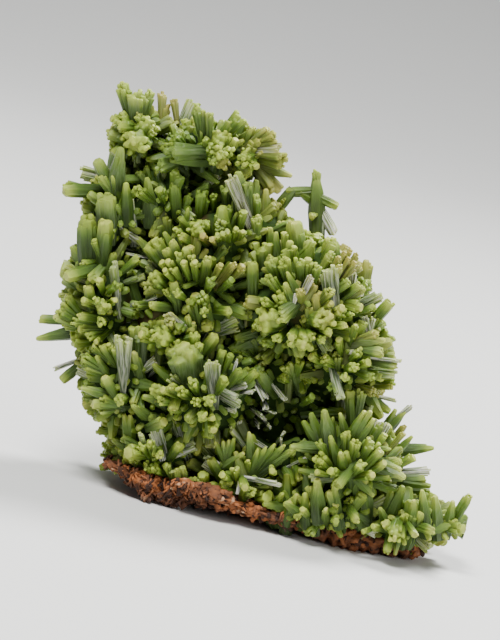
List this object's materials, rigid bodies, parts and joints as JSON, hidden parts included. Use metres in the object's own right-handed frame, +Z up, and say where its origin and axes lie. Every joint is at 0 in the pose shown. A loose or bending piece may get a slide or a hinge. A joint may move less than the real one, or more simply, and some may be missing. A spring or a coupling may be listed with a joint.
{
  "type": "pyromorphite specimen",
  "caption": "Green pyromorphite mineral specimen: stout hexagonal crystals grown together on a thin brown limonite matrix, cut flat underneath to stand.",
  "frame": {"origin": "middle of the specimen's bounding box, on the matrix's flat underside", "axes": "+Z up from the flat underside, +X to the right along the matrix, -Y towards the viewer of the crystals' best side"},
  "size_m": [0.0737, 0.0378, 0.0619],
  "materials": {
    "limonite": "earthy, cellular orange-brown iron oxide with cream edges, matt",
    "pyromorphite": "resinous to silky apple-green crystal, paler yellow-green at the tips, slightly translucent"
  },
  "bodies": {
    "root": {"matrix": "limonite", "crystals": "pyromorphite", "ledge_crystal_1": "pyromorphite", "ledge_crystal_2": "pyromorphite", "ledge_crystal_3": "pyromorphite", "ledge_crystal_4": "pyromorphite"}
  },
  "joints": []
}
